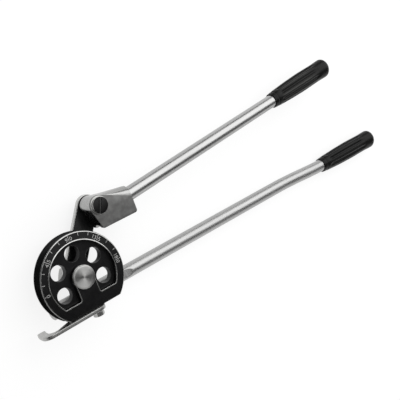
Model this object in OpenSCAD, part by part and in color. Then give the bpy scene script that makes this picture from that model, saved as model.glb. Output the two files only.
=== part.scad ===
// Lever tube bender, lying on its back on a bench.
// The axle of the die runs along Z through the origin, and Z = 0 is the bench.
// The fixed handle points along +X, and the forming handle closes over it.

/* [Tube] */
// Outside diameter of the tube that the tool bends
tube_d = 16; // [12:0.5:20]
// Bend radius, from the axle to the middle of the tube
bend_r = 57; // [47:0.5:70]

/* [Die] */
// Thickness of each flange beside the groove, at the rim
flange_t = 2; // [1.5:0.1:4]
// Width of the scale band, from the rim inwards
band_w = 11.5; // [8:0.1:14]
// Distance from the axle to the flat edge
flat_d = 42.5; // [35:0.1:52]
// Depth of the pocket in the front face
front_pocket = 7; // [3:0.1:8]
// Depth of the pocket in the back face
back_pocket = 4; // [2:0.1:5]
// Height of the plain strip between the flat edge and the front pocket
strip_h = 16.2; // [12:0.1:20]
// Radius of the hub left standing in the pockets
hub_r = 15.3; // [15:0.1:19]
// Width of the pedestal that joins the strip to the hub
pedestal_w = 28; // [20:0.5:32]
// Radius of each lightening hole
hole_r = 10; // [6:0.1:10.5]
// Angle between neighbouring lightening holes
hole_pitch = 56; // [50:1:60]
// Number of lightening holes
hole_count = 5; // [3:2:5]

/* [Handles] */
// Diameter of both handle bars
rod_d = 19; // [15.5:0.1:23]
// Thickest wall of the grips, above and below the bar
grip_wall = 2.7; // [2:0.1:5]
// Gap between the two grips as one passes over the other
grip_pass = 0.6; // [0.4:0.1:3]
// Width of each grip across its oval
grip_w = 29.4; // [26:0.1:34]
// Length of each grip
grip_l = 132; // [100:1:165]
// Thickness of the closed end of a grip
grip_end = 6; // [3:0.5:8]
// Offset of the fixed handle from the axle, towards the flat edge
rod_y = 31.2; // [28:0.1:33]
// Reach of the fixed handle past the axle, on the hook side
rod_tail = 43; // [34:1:46]
// Depth of the flat that seats the fixed handle on the die
seat_cut = 1.9; // [1:0.1:3]
// End of that flat, measured from the axle
seat_end = 79; // [64:1:95]
// Length of the pad
pad_l = 76; // [64:1:80]
// Width of the pad
pad_w = 17; // [14:0.5:20]
// Start of the small set in the fixed handle, measured from the axle
set_x = 381; // [300:1:410]
// Angle of the set
set_a = 3.3; // [1:0.1:6]
// Length of the set, between its two bends
set_l = 76; // [40:1:90]
// Bare length of the forming handle between the shoe and its grip
bare_l = 286; // [200:1:340]
// Angle of the forming handle to the face of the shoe
handle_a = 6.2; // [0:0.1:8]

/* [Link and shoe] */
// Thickness of the link plate
link_t = 7; // [5:0.1:9]
// Width of the link plate
link_w = 29; // [26:0.5:34]
// Thickness of the spacer between die and link
spacer_t = 6; // [4.5:0.1:7]
// Angle of the link to the fixed handle, as laid down
link_a = 54; // [30:1:90]
// Thickness of the shoe on each side of the tube
shoe_wall = 5; // [4:0.1:7]
// Length of the shoe from its pivot to the end that takes the handle
shoe_l = 48.5; // [44:0.5:60]
// Reach of the shoe's toe past the pivot
shoe_toe = 5; // [3:0.5:8]
// Distance from the pivot to the top of the tube
shoe_back = 25; // [23.5:0.1:31]
// Reach of the shoe's lips down past the top of the tube
shoe_lip = 4.5; // [3:0.1:5]
// Radius of the shoe around its pivot
boss_r = 13; // [11.5:0.1:16]
// Radius of the shoe's lower corner at the end that takes the handle
shoe_corner_r = 3.5; // [1:0.1:6]
// Radius of the shoe's toe
shoe_toe_r = 2; // [1:0.1:4]
// Drop from the pivot to the handle's axis at the end of the shoe
handle_drop = 6.9; // [4:0.1:8]
// Depth of the handle's socket in the shoe
socket_l = 31; // [24:0.5:32]

/* [Hook] */
// Thickness of the hook plate
hook_t = 4.6; // [3:0.1:7]
// Reach of the hook in front of the die's face
hook_front = 4.6; // [3:0.1:7]
// Radius of the hook's pivot end
hook_end_r = 11; // [9:0.1:13]
// Place of the hook's pivot along the flat edge
hook_x = 3; // [0:0.5:6]
// Width of the hook's tip, beyond the tube
tip_w = 10.4; // [7:0.1:14]
// Length of the tip past the middle of the tube
tip_l = 16.7; // [9:0.1:18]
// Angle round the notch where the straight lead-in to it starts
notch_lead = 50; // [45:1:55]
// Slope of the lead-in, along the arm's underside
lead_slope = 25; // [20:1:30]
// Diameter of the dowel that stops the hook
stop_d = 4; // [3:0.1:5]
// Distance from the axle to the stop dowel, along the flat edge
stop_x = 18; // [14:0.5:20]
// Depth of the stop dowel in the die
stop_l = 6; // [4:0.1:7]

/* [Pins and screws] */
// Diameter of the axle
axle_d = 16; // [13:0.1:19.5]
// Diameter of the axle's round head
axle_head_d = 29.4; // [24:0.1:30]
// Thickness of the axle's head, which bears on the die's face
axle_head_t = 2.2; // [1.5:0.1:4]
// Diameter of the shoe's pivot pin
pin_d = 12; // [10:0.1:14]
// Diameter of the pivot pin's head
pin_head_d = 21; // [16:0.1:22]
// Thickness of the pivot pin's head
pin_head_t = 4; // [3:0.1:6]
// Wall of the bushes
bush_wall = 2; // [1.5:0.1:2.5]
// Thickness of the flat washers
washer_t = 1.9; // [1.2:0.1:2.4]
// Diameter of the screws in the handle and the hook
screw_d = 8; // [6:0.5:9]
// Distance from the axle to each handle screw
screw_x = 22; // [16:1:26]
// Length of screw thread held in the die
thread_l = 16; // [10:0.5:18]

/* [Fits] */
// Radial clearance of a pin that turns
run_fit = 0.05; // [0.02:0.01:0.1]
// Axial clearance between pieces that turn on each other
side_fit = 0.15; // [0.1:0.01:0.3]
// Clearance around the tube in the groove, the shoe and the hook
tube_fit = 0.2; // [0.1:0.05:0.5]
// Gap between the hook and the die's flat edge
hook_gap = 0.3; // [0.2:0.05:0.6]

/* [Hidden] */
$fn = 96;
eps = 0.1;

// Tube and the two pieces that grip its sides
tube_r = tube_d / 2;
groove_r = tube_r + tube_fit;
die_t = tube_d + 2 * flange_t;
shoe_w = tube_d + 2 * shoe_wall;

// Heights above the bench
rod_r = rod_d / 2;
grip_r = rod_r + grip_wall;
rod_z = grip_r;
seat_z = rod_z + rod_r - seat_cut;
die_z0 = rod_z + 2 * grip_r + grip_pass - die_t / 2;
pad_t = die_z0 - seat_z;
die_z1 = die_z0 + die_t;
tube_z = die_z0 + die_t / 2;
link_z1 = die_z0 - spacer_t - side_fit;
link_z0 = link_z1 - link_t;
shoe_z0 = tube_z - shoe_w / 2;
shoe_z1 = tube_z + shoe_w / 2;

// Die, its pockets and holes
pocket_r = bend_r - band_w;
hole_ring_r = (hub_r + pocket_r) / 2;
hole_a0 = 90 - hole_pitch * (hole_count - 1) / 2;
axle_r = axle_d / 2;
axle_bush_r = axle_r + bush_wall;

// Shoe pivot, placed so that the closed shoe lies on the tube
pivot_r = bend_r + tube_r + shoe_back;
pin_r = pin_d / 2;
pin_bush_r = pin_r + bush_wall;
face_d = shoe_back + shoe_lip;
head_washer_t = 1.2;

// Hook and its screw
screw_r = screw_d / 2;
hook_z1 = die_z1 + hook_front;
hook_pivot_z = hook_z1 - hook_end_r;
hook_y1 = -flat_d - hook_gap;
hook_y0 = hook_y1 - hook_t;
hook_washer_t = 1.3;
notch_r = tube_r + tube_fit;
// The tip follows an arc about the pivot, so that it swings past the tube
tube_reach = norm([hook_x + bend_r, hook_pivot_z - tube_z]);
tip_in = tube_reach + notch_r;
// The lead-in crosses the notch's circle here and starts 2 mm inside it
lead_at = notch_r * [cos(notch_lead), sin(notch_lead)];
lead_from = lead_at - 2 * [cos(lead_slope), -sin(lead_slope)];
lead_to = [lead_at[0] + (lead_at[1] + eps) / tan(lead_slope), -eps];
tip_out = tip_in + tip_w;
tip_x0 = hook_x - tip_out;
tip_z1 = hook_pivot_z - (hook_pivot_z - tube_z) * tip_in / tube_reach;
stop_z = tube_z - hook_gap - stop_d / 2;

// Handle screws: head, lock washer and counterbore
cap_d = screw_d * 1.625;
cap_h = screw_d;
lock_t = 1.6;
cap_fit = 0.2;
cap_seat_z = rod_z - 1.7;

// Hexagons are given by their width across flats
function across(flats) = flats / cos(30);
axle_nut_flats = axle_d * 1.5;
pin_nut_flats = pin_d * 1.5;
pin_nut_h = pin_d * 0.45;
hook_head_flats = screw_d * 1.625;
hook_head_h = screw_d * 0.75;

// Fixed handle: the slight swelling at its two bends, and the start of its grip
bend_swell_r = rod_r + 0.1;
set_end_x = set_x + set_l * cos(set_a);
grip_y = -rod_y - set_l * sin(set_a);
grip_x = set_end_x + 7;

// Grip section: share of its length, of its thickest wall at the sides, and of that above and below the bar
grip_profile = [[0, 0.27, 0.35], [0.08, 0.56, 0.39], [0.3, 0.87, 0.78], [0.53, 1, 1], [0.8, 0.9, 0.85],
  [0.88, 1, 1]];
grip_round = 11;
// The grip's top and underside are arcs about lines set apart by twice this
grip_arch = 5;

// A flat ring with its lower face at z
module ring(z, h, r_out, r_in) {
  translate([0, 0, z])
    difference() {
      cylinder(h = h, r = r_out);
      translate([0, 0, -eps]) cylinder(h = h + 2 * eps, r = r_in);
    }
}

// A hexagon nut with a plain bore
module nut(z, h, flats, r_in) {
  translate([0, 0, z])
    difference() {
      cylinder(h = h, d = across(flats), $fn = 6);
      translate([0, 0, -eps]) cylinder(h = h + 2 * eps, r = r_in);
    }
}

// Moves to the pivot of the shoe, at the height of the bench
module at_pivot() {
  rotate([0, 0, link_a]) translate([pivot_r, 0, 0]) rotate([0, 0, -link_a]) children();
}

// Moves to the handle's axis at the end of the shoe, with +Z along the handle
module at_socket() {
  at_pivot()
    translate([shoe_l, -handle_drop, tube_z]) rotate([0, 0, handle_a]) rotate([0, 90, 0]) children();
}

// Lays an outline given in X and Z flat, from y down to y - h
module plate_xz(y, h) {
  translate([0, y, 0]) rotate([90, 0, 0]) linear_extrude(h) children();
}

// Outline of a pocket: inside the scale band, above the strip, clear of hub and pedestal
module pocket_outline(bottom_y) {
  difference() {
    circle(r = pocket_r);
    translate([-bend_r, -2 * bend_r + bottom_y]) square([2 * bend_r, 2 * bend_r]);
    circle(r = hub_r);
    translate([-pedestal_w / 2, -bend_r]) square([pedestal_w, bend_r]);
  }
}

// Cast die: grooved wheel with a flat edge, pockets, holes and a pad for the handle
module bending_die() {
  color("#1b1b1b")
    difference() {
      union() {
        translate([0, 0, die_z0])
          rotate_extrude()
            difference() {
              square([bend_r, die_t]);
              translate([bend_r, die_t / 2]) circle(r = groove_r);
            }
        translate([-pad_l / 2, -rod_y - pad_w / 2, seat_z]) cube([pad_l, pad_w, pad_t + eps]);
      }
      translate([-bend_r, -2 * bend_r - flat_d, 0]) cube([2 * bend_r, 2 * bend_r, 2 * die_z1]);
      translate([0, 0, die_z1 - front_pocket])
        linear_extrude(front_pocket + eps) pocket_outline(strip_h - flat_d);
      translate([0, 0, die_z0 - eps])
        linear_extrude(back_pocket + eps) pocket_outline(pad_w / 2 - rod_y);
      for (i = [0 : hole_count - 1])
        rotate([0, 0, hole_a0 + i * hole_pitch])
          translate([hole_ring_r, 0, 0]) cylinder(h = 2 * die_z1, r = hole_r);
      cylinder(h = 2 * die_z1, r = axle_r);
      for (side = [-1, 1])
        translate([side * screw_x, -rod_y, 0]) cylinder(h = seat_z + thread_l, r = screw_r);
      translate([hook_x, thread_l - flat_d, hook_pivot_z])
        rotate([90, 0, 0]) cylinder(h = 2 * thread_l, r = screw_r);
      translate([-stop_x, stop_l - flat_d, stop_z]) rotate([90, 0, 0]) cylinder(h = 2 * stop_l, d = stop_d);
    }
}

// Turned axle with a wide round head that bears on the die's hub
module axle() {
  color("#c9c9c6") {
    cylinder(h = die_z1, r = axle_r);
    translate([0, 0, die_z1]) cylinder(h = axle_head_t, d = axle_head_d);
  }
}

// Spacer that carries the link clear of the die's back
module axle_spacer() {
  color("#b5b5b2") ring(die_z0 - spacer_t, spacer_t, link_w / 2, axle_r);
}

// Washer behind the link
module axle_washer() {
  color("#b5b5b2") ring(link_z0 - side_fit - washer_t, washer_t, link_w / 2, axle_r);
}

// Nut behind the washer, tall enough to stand on the bench
module axle_nut() {
  color("#a8a8a4") nut(0, link_z0 - side_fit - washer_t, axle_nut_flats, axle_r);
}

// Fixed handle: bar with a seat flat, two screw holes and a small set before the grip
module lower_handle() {
  color("#d2d2cf")
    difference() {
      translate([0, -rod_y, rod_z]) {
        translate([-rod_tail, 0, 0]) rotate([0, 90, 0]) cylinder(h = rod_tail + set_x, r = rod_r);
        translate([set_x, 0, 0]) rotate([0, 90, 0]) sphere(r = bend_swell_r);
        translate([set_x, 0, 0]) rotate([0, 0, -set_a]) rotate([0, 90, 0]) cylinder(h = set_l, r = rod_r);
        translate([set_end_x, grip_y + rod_y, 0]) rotate([0, 90, 0]) sphere(r = bend_swell_r);
        translate([set_end_x, grip_y + rod_y, 0])
          rotate([0, 90, 0]) cylinder(h = grip_x - set_end_x + grip_l - grip_end, r = rod_r);
      }
      translate([-rod_tail - eps, -rod_y - rod_d, seat_z])
        cube([rod_tail + seat_end + eps, 2 * rod_d, rod_d]);
      for (side = [-1, 1])
        translate([side * screw_x, -rod_y, -eps]) {
          cylinder(h = seat_z + rod_d, r = screw_r + cap_fit);
          cylinder(h = cap_seat_z + eps, r = cap_d / 2 + cap_fit);
        }
    }
}

// Two socket screws that hold the fixed handle to the die
module handle_screws() {
  color("#3c3c3c")
    for (side = [-1, 1])
      translate([side * screw_x, -rod_y, cap_seat_z - lock_t - cap_h])
        difference() {
          union() {
            cylinder(h = cap_h, d = cap_d);
            cylinder(h = cap_h + lock_t + seat_z - cap_seat_z + thread_l - 1, r = screw_r);
          }
          translate([0, 0, -eps]) cylinder(h = cap_h / 2, d = across(screw_d * 0.75), $fn = 6);
        }
}

// Lock washers under the screw heads
module handle_lock_washers() {
  color("#8e8e8b")
    for (side = [-1, 1])
      translate([side * screw_x, -rod_y, 0])
        ring(cap_seat_z - lock_t, lock_t, cap_d / 2 - cap_fit, screw_r + cap_fit);
}

// A grip's outline turned about its own axis: column k of the profile gives its wall, on the radius r
module grip_turned(k, r, wall) {
  outer = [for (p = grip_profile) [r + p[k] * wall, p[0] * grip_l]];
  round_x = r + wall - grip_round;
  rotate_extrude()
    union() {
      polygon(concat([[0, 0]], outer, [[r + wall, grip_l - grip_round], [0, grip_l - grip_round]]));
      intersection() {
        translate([round_x, grip_l - grip_round]) circle(r = grip_round);
        square([r + wall, grip_l]);
      }
      translate([0, grip_l - 2 * grip_round]) square([round_x, 2 * grip_round]);
    }
}

// One oval grip along +Z, open at z = 0 and wider along Y
module grip() {
  difference() {
    intersection() {
      grip_turned(1, rod_r, grip_w / 2 - rod_r);
      translate([grip_arch, 0, 0]) grip_turned(2, rod_r + grip_arch, grip_wall);
      translate([-grip_arch, 0, 0]) grip_turned(2, rod_r + grip_arch, grip_wall);
    }
    translate([0, 0, -eps]) cylinder(h = grip_l - grip_end + eps, r = rod_r);
  }
}

// Grip on the fixed handle
module lower_grip() {
  color("#222220") translate([grip_x, grip_y, rod_z]) rotate([0, 90, 0]) grip();
}

// Outline of the hook in X and Z: pivot end, arm, tip and the notch for the tube, with its lead-in
module hook_outline() {
  difference() {
    union() {
      translate([hook_x, hook_pivot_z]) circle(r = hook_end_r);
      intersection() {
        translate([hook_x, hook_pivot_z]) circle(r = tip_out);
        union() {
          translate([tip_x0, tube_z]) square([hook_x - tip_x0, hook_z1 - tube_z]);
          translate([tip_x0, tip_z1]) square([-bend_r - tip_x0, hook_z1 - tip_z1]);
          difference() {
            translate([tip_x0, tube_z - tip_l]) square([2 * tip_w, tip_z1 - tube_z + tip_l]);
            translate([hook_x, hook_pivot_z]) circle(r = tip_in);
          }
        }
      }
    }
    translate([tip_x0, hook_pivot_z])
      difference() {
        translate([-eps, 0]) square([hook_end_r + eps, hook_end_r + eps]);
        translate([hook_end_r, 0]) circle(r = hook_end_r);
      }
    translate([-bend_r, tube_z]) {
      circle(r = notch_r);
      polygon([[1, -eps], lead_from, lead_to]);
    }
    translate([hook_x, hook_pivot_z]) circle(r = screw_r + run_fit);
  }
}

// Hook that holds the tube against the die
module hook() {
  color("#bdbdb9") plate_xz(hook_y1, hook_t) hook_outline();
}

// Shoulder screw that the hook turns on
module hook_screw() {
  color("#a8a8a4") translate([hook_x, hook_y0 - hook_washer_t, hook_pivot_z]) rotate([-90, 0, 0]) {
    cylinder(h = hook_washer_t + hook_t + hook_gap + thread_l - 1, r = screw_r);
    translate([0, 0, -hook_head_h]) cylinder(h = hook_head_h, d = across(hook_head_flats), $fn = 6);
  }
}

// Washer between the hook and the screw's head
module hook_washer() {
  color("#b5b5b2")
    translate([hook_x, hook_y0 - side_fit, hook_pivot_z])
      rotate([90, 0, 0]) ring(0, hook_washer_t - side_fit, screw_d * 0.95, screw_r);
}

// Dowel in the flat edge that the hook's arm comes to rest on
module hook_stop() {
  color("#a8a8a4")
    translate([-stop_x, stop_l - flat_d, stop_z])
      rotate([90, 0, 0]) cylinder(h = stop_l + hook_gap + hook_t, d = stop_d);
}

// Link plate that carries the shoe round the axle
module link() {
  color("#4a4a4a")
    rotate([0, 0, link_a]) translate([0, 0, link_z0])
      linear_extrude(link_t)
        difference() {
          union() {
            circle(d = link_w);
            translate([0, -link_w / 2]) square([pivot_r, link_w]);
            translate([pivot_r, 0]) circle(d = link_w);
          }
          circle(r = axle_bush_r);
          translate([pivot_r, 0]) circle(r = pin_r);
        }
}

// Bronze bush in the link, running on the axle
module link_bush() {
  color("#b08d57") ring(link_z0, link_t, axle_bush_r, axle_r + run_fit);
}

// Pivot pin with a slotted round head, fixed in the link
module pivot_pin() {
  color("#202020") at_pivot()
    difference() {
      union() {
        cylinder(h = shoe_z1 + side_fit + head_washer_t + 1, r = pin_r);
        translate([0, 0, shoe_z1 + side_fit + head_washer_t]) cylinder(h = pin_head_t, d = pin_head_d);
      }
      translate([0, 0, shoe_z1 + side_fit + head_washer_t + pin_head_t])
        rotate([0, 0, link_a + 12]) cube([2 * pin_head_d, pin_d / 6, pin_head_t / 2], center = true);
    }
}

// Bright washer under the pin's head
module pin_head_washer() {
  color("#d2d2cf") at_pivot() ring(shoe_z1 + side_fit, head_washer_t, pin_head_d / 2 + 1.5, pin_r);
}

// Thick washer that keeps the shoe in line with the die
module thrust_washer() {
  color("#b5b5b2") at_pivot() ring(link_z1, shoe_z0 - link_z1 - side_fit, boss_r - 1.5, pin_r);
}

// Washer under the pin's nut
module pin_nut_washer() {
  color("#b5b5b2") at_pivot() ring(link_z0 - washer_t, washer_t, pin_d, pin_r);
}

// Thin lock nut on the pivot pin
module pin_nut() {
  color("#a8a8a4") at_pivot() nut(link_z0 - washer_t - pin_nut_h, pin_nut_h, pin_nut_flats, pin_r);
}

// Forged shoe: boss round the pivot, grooved face and round socket end
module shoe() {
  color("#8d8d8b")
    difference() {
      at_pivot() translate([0, 0, tube_z])
        hull() {
          cylinder(h = shoe_w, r = boss_r, center = true, $fn = 64);
          translate([shoe_toe_r - shoe_toe, shoe_toe_r - face_d, 0])
            cylinder(h = shoe_w, r = shoe_toe_r, center = true, $fn = 32);
          translate([shoe_l - shoe_corner_r, shoe_corner_r - face_d, 0])
            cylinder(h = shoe_w, r = shoe_corner_r, center = true, $fn = 32);
          translate([shoe_l - 1, shoe_corner_r - face_d, -shoe_w / 2])
            cube([1, face_d - shoe_corner_r - handle_drop, shoe_w]);
          translate([shoe_l - 1, -handle_drop, 0]) rotate([0, 90, 0]) cylinder(h = 1, d = shoe_w, $fn = 64);
        }
      at_pivot() cylinder(h = 2 * shoe_z1, r = pin_bush_r);
      at_pivot() translate([-2 * shoe_toe - boss_r, -shoe_back - tube_r, tube_z])
        rotate([0, 90, 0]) cylinder(h = 3 * shoe_l, r = groove_r);
      at_socket() translate([0, 0, -socket_l]) cylinder(h = 2 * socket_l, r = rod_r);
      at_set_screw() cylinder(h = tube_z - shoe_z0 + eps, d = screw_d * 0.75);
    }
}

// Moves to the set screw's axis, at the back face of the shoe
module at_set_screw() {
  at_socket() translate([tube_z - shoe_z0 + eps, 0, -socket_l / 2]) rotate([0, -90, 0]) children();
}

// Bronze bush in the shoe, running on the pivot pin
module shoe_bush() {
  color("#b08d57") at_pivot() ring(shoe_z0, shoe_w, pin_bush_r, pin_r + run_fit);
}

// Forming handle: bar in the shoe's socket, with a dimple for the set screw
module upper_handle() {
  color("#d2d2cf")
    difference() {
      at_socket() translate([0, 0, -socket_l]) cylinder(h = socket_l + bare_l + grip_l - grip_end, r = rod_r);
      at_set_screw() cylinder(h = tube_z - shoe_z0 - rod_r + eps + 1.5, d = screw_d * 0.75);
    }
}

// Set screw that locks the handle in the shoe, from the back
module handle_set_screw() {
  color("#3c3c3c") at_set_screw()
    translate([0, 0, 0.6])
      difference() {
        cylinder(h = tube_z - shoe_z0 - rod_r + eps + 0.9, d = screw_d * 0.75);
        translate([0, 0, -eps]) cylinder(h = 2, d = across(screw_d * 0.375), $fn = 6);
      }
}

// Grip on the forming handle
module upper_grip() {
  color("#222220") at_socket() translate([0, 0, bare_l]) grip();
}

bending_die();
axle();
axle_spacer();
axle_washer();
axle_nut();
lower_handle();
handle_screws();
handle_lock_washers();
lower_grip();
hook();
hook_screw();
hook_washer();
hook_stop();
link();
link_bush();
pivot_pin();
pin_head_washer();
thrust_washer();
pin_nut_washer();
pin_nut();
shoe();
shoe_bush();
upper_handle();
handle_set_screw();
upper_grip();
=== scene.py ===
import bmesh
import bpy
import numpy as np
from mathutils import Matrix, Vector
from mathutils.geometry import tessellate_polygon


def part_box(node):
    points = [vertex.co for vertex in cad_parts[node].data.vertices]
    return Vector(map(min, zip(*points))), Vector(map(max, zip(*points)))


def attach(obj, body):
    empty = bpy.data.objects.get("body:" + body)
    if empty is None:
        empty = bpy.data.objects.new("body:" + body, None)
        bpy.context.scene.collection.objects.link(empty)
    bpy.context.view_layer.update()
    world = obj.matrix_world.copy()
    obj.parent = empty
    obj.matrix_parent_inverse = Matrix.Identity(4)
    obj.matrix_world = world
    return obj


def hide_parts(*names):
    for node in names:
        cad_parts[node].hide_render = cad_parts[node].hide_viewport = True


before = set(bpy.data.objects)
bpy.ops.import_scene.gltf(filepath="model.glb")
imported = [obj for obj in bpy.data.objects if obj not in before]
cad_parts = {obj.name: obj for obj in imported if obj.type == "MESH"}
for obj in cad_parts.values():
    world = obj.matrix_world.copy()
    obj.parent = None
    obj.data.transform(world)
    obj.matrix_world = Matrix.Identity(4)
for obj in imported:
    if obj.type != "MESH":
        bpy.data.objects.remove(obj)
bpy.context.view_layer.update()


# Bending die: a cast and machined wheel with a half-round groove, one flat edge, pockets and five holes.
# Its satin black finish is cut through at the rim and round the front pocket, where bare metal shows.
# A pad cast on its back carries the fixed handle.
MM = 0.001
die_low, die_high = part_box("bending_die")
rim, flat, front = die_high.x / MM, -die_low.y / MM, die_high.z / MM
die_thick, groove = 20.0, 8.2
back, mid = front - die_thick, front - die_thick / 2
inner, hub, pedestal = 45.5, 15.3, 14.0
front_floor, back_floor = front - 7.0, back + 4.0
hole_r, hole_ring = 10.0, 31.0
hole_angles = np.radians([-22, 34, 90, 146, 202])
bare_cut, bead = 1.1, 1.4
rim_lip, groove_land, back_bevel, flat_bevel = 0.12, 0.15, 0.6, 0.3
floor_round, hole_edge, hole_back_edge, back_round, back_edge = 0.8, 0.5, 0.2, 0.3, 0.5
pad_half, pad_low, pad_high, pad_round, pad_edge, pad_sunk = 37.5, -39.4, -23.0, 3.0, 0.9, 0.5
merge_gap, sharp_angle = 1.5e-6, np.radians(35)


def surface(name, colour, roughness, metallic=1.0, grain=900.0, stretch=(1, 1, 1), relief=1e-5, shade=0.12,
            swing=0.07, specular=0.5):
    """A finish on Object coordinates: broad noise, its middle range spread out, shades the colour up and down by
    its share, and fine noise swings the roughness and lifts a shallow relief."""
    patch, middle_range = 11, (0.3, 0.7)
    finish = bpy.data.materials.new(name)
    finish.use_nodes = True
    tree = finish.node_tree
    shader = tree.nodes["Principled BSDF"]
    shader.inputs["Metallic"].default_value = metallic
    shader.inputs["Specular IOR Level"].default_value = specular
    place = tree.nodes.new("ShaderNodeTexCoord")
    scaled = tree.nodes.new("ShaderNodeMapping")
    scaled.inputs["Scale"].default_value = stretch
    tree.links.new(place.outputs["Object"], scaled.inputs["Vector"])
    fine, broad = (tree.nodes.new("ShaderNodeTexNoise") for _ in range(2))
    for noise, scale, detail in ((fine, grain, 2.0), (broad, grain / patch, 3.0)):
        noise.inputs["Scale"].default_value = scale
        noise.inputs["Detail"].default_value = detail
        tree.links.new(scaled.outputs["Vector"], noise.inputs["Vector"])
    tint = tree.nodes.new("ShaderNodeMix")
    tint.data_type = "RGBA"
    darker, lighter, mixed = tint.inputs[6], tint.inputs[7], tint.outputs[2]
    darker.default_value = (*(np.array(colour) * (1 - shade)), 1)
    lighter.default_value = (*np.minimum(np.array(colour) * (1 + shade), 1), 1)
    spread = tree.nodes.new("ShaderNodeMapRange")
    spread.inputs["From Min"].default_value, spread.inputs["From Max"].default_value = middle_range
    tree.links.new(broad.outputs["Fac"], spread.inputs["Value"])
    tree.links.new(spread.outputs["Result"], tint.inputs["Factor"])
    tree.links.new(mixed, shader.inputs["Base Color"])
    gloss = tree.nodes.new("ShaderNodeMapRange")
    gloss.inputs["From Min"].default_value, gloss.inputs["From Max"].default_value = middle_range
    gloss.inputs["To Min"].default_value, gloss.inputs["To Max"].default_value = roughness - swing, roughness + swing
    tree.links.new(fine.outputs["Fac"], gloss.inputs["Value"])
    tree.links.new(gloss.outputs["Result"], shader.inputs["Roughness"])
    bump = tree.nodes.new("ShaderNodeBump")
    bump.inputs["Strength"].default_value = 0.6
    bump.inputs["Distance"].default_value = relief
    tree.links.new(fine.outputs["Fac"], bump.inputs["Height"])
    tree.links.new(bump.outputs["Normal"], shader.inputs["Normal"])
    return finish


def skin(rows, closed=False, mark=0):
    """Quads between neighbouring rows of points; the columns go right round, and closed joins the last row
    to the first."""
    rows = np.asarray(rows, float)
    count, across = rows.shape[:2]
    i, j = np.meshgrid(np.arange(count if closed else count - 1), np.arange(across), indexing="ij")
    up, on = (i + 1) % count, (j + 1) % across
    faces = np.stack([i * across + j, i * across + on, up * across + on, up * across + j], -1)
    return rows.reshape(-1, 3), faces.reshape(-1, 4), mark


def circle(radius, centre=(0, 0), steps=96, start=0.0, end=2 * np.pi):
    """Points of an arc: centre plus radius times cosine and sine; a whole turn leaves out its last point."""
    a = np.linspace(start, end, steps, endpoint=abs(end - start) < 2 * np.pi - 1e-9)
    return np.column_stack([centre[0] + radius * np.cos(a), centre[1] + radius * np.sin(a)])


def rounded(before, at, after, radius, steps=9):
    """A round between two straight edges: it touches each at radius / tan(half the angle) from the corner,
    and its points swing evenly about its centre on the bisector."""
    before, at, after = (np.asarray(p, float) for p in (before, at, after))
    u, v = ((p - at) / np.linalg.norm(p - at) for p in (before, after))
    half = np.arccos(np.clip(u @ v, -1, 1)) / 2
    centre = at + (u + v) / np.linalg.norm(u + v) * radius / np.sin(half)
    first, last = at + u * radius / np.tan(half) - centre, at + v * radius / np.tan(half) - centre
    turn, t = np.pi - 2 * half, np.linspace(0, 1, steps)[:, None]
    return centre + (np.sin((1 - t) * turn) * first + np.sin(t * turn) * last) / np.sin(turn)


def moved_out(loop, step):
    """The outline moved outwards by a step along the mitre of its two edges' normals."""
    edge = np.roll(loop, -1, 0) - loop
    normal = np.column_stack([edge[:, 1], -edge[:, 0]]) / np.linalg.norm(edge, axis=1)[:, None]
    last = np.roll(normal, 1, 0)
    return loop + step * (normal + last) / (1 + (normal * last).sum(1))[:, None]


def wall(loop, profile, mark=0):
    """An outline carried along a profile of (step out, height) pairs."""
    return skin([np.column_stack([moved_out(loop, s), np.full(len(loop), z)]) for s, z in profile], mark=mark)


def cap(height, *loops, mark=0):
    """A flat face at one height, inside the first outline and outside the others, cut into triangles."""
    cut = tessellate_polygon([[Vector((x, y, 0)) for x, y in loop] for loop in loops])
    points = np.vstack(loops)
    return np.column_stack([points, np.full(len(points), height)]), np.array(cut), mark


def soft_edges(low, high, radius, steps=5):
    """A profile of (step out, height) pairs with a quarter round of the given radius at each end, top first."""
    a = np.linspace(0, np.pi / 2, steps)
    top = np.column_stack([radius * (np.sin(a) - 1), high - radius * (1 - np.cos(a))])
    return np.vstack([top, np.column_stack([top[::-1, 0], low + high - top[::-1, 1]])])


def plate(loop, low, high, soft, faces=0, sides=0):
    """A plate: its outline carried along a profile with rounded edges, and a flat face at each end."""
    trim = moved_out(loop, -soft)
    return [wall(loop, soft_edges(low, high, soft), sides), cap(high, trim, mark=faces), cap(low, trim, mark=faces)]


def piece(name, body, nodes, shells, finishes, turn=None):
    """Joins shells of points in mm, faces and finish numbers into one mesh in metres. Doubles are merged,
    faces turned outwards, flat faces kept flat and edges over 35 degrees kept sharp."""
    starts = np.cumsum([0] + [len(points) for points, _, _ in shells])
    points = np.vstack([shell[0] for shell in shells]) * MM
    points = points if turn is None else points @ np.asarray(turn, float).T
    counts = [len(faces) for _, faces, _ in shells]
    mesh = bpy.data.meshes.new(name)
    mesh.from_pydata(points.tolist(), [], [f for (_, faces, _), s in zip(shells, starts) for f in (faces + s).tolist()])
    mesh.polygons.foreach_set("material_index", np.repeat([mark for _, _, mark in shells], counts))
    mesh.polygons.foreach_set("use_smooth", np.repeat([faces.shape[1] == 4 for _, faces, _ in shells], counts))
    for finish in finishes:
        mesh.materials.append(finish)
    work = bmesh.new()
    work.from_mesh(mesh)
    bmesh.ops.remove_doubles(work, verts=work.verts, dist=merge_gap)
    bmesh.ops.dissolve_degenerate(work, edges=work.edges, dist=1e-7)
    bmesh.ops.recalc_face_normals(work, faces=work.faces)
    work.to_mesh(mesh)
    work.free()
    mesh.set_sharp_from_angle(angle=sharp_angle)
    made = bpy.data.objects.new(name, mesh)
    bpy.context.scene.collection.objects.link(made)
    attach(made, body)
    if nodes:
        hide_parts(*nodes)
    return made


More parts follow.
